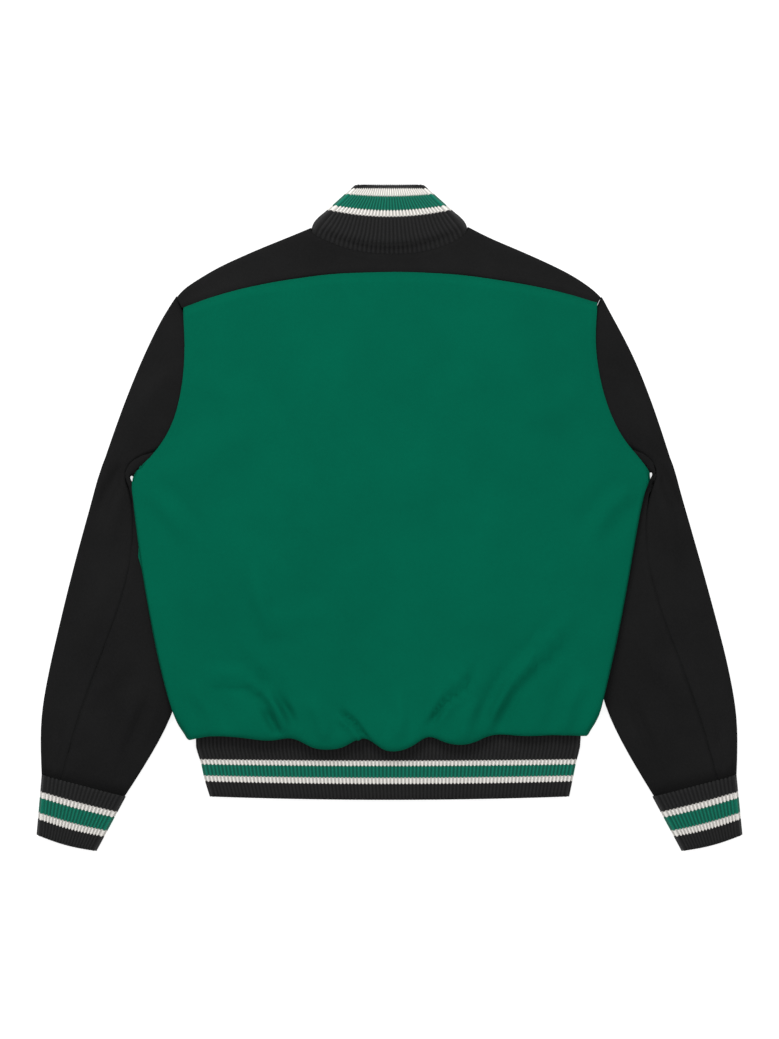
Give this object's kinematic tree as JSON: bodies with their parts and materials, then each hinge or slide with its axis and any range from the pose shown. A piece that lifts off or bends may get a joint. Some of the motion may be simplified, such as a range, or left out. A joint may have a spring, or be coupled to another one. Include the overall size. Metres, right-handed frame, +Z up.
{
  "type": "varsity jacket",
  "caption": "Varsity jacket laid flat on its front: wool body blousing over a rib waistband, set-in sleeves with rib cuffs, shoulder yoke, rib collar and snap front.",
  "frame": {"origin": "on the surface the jacket lies on, under the middle of its bounding box", "axes": "+Z up from the surface, +Y towards the collar, +X towards the wearer's right, which is the right of the picture"},
  "size_m": [0.8436, 0.7976, 0.0301],
  "materials": {
    "green_wool": "matt melton wool",
    "black_wool": "matt melton wool",
    "rib_knit": "matt rib knit",
    "snap_metal": "black lacquered snap caps"
  },
  "bodies": {
    "root": {"back_panel": "green_wool", "front_left": "green_wool", "front_right": "green_wool", "yoke": "black_wool", "sleeve_left_upper": "black_wool", "sleeve_left_under": "black_wool", "sleeve_right_upper": "black_wool", "sleeve_right_under": "black_wool", "cuff_left": "rib_knit", "cuff_right": "rib_knit", "waistband": "rib_knit", "collar": "rib_knit", "snap_1": "snap_metal", "snap_2": "snap_metal", "snap_3": "snap_metal", "snap_4": "snap_metal", "snap_5": "snap_metal", "snap_6": "snap_metal"}
  },
  "joints": []
}
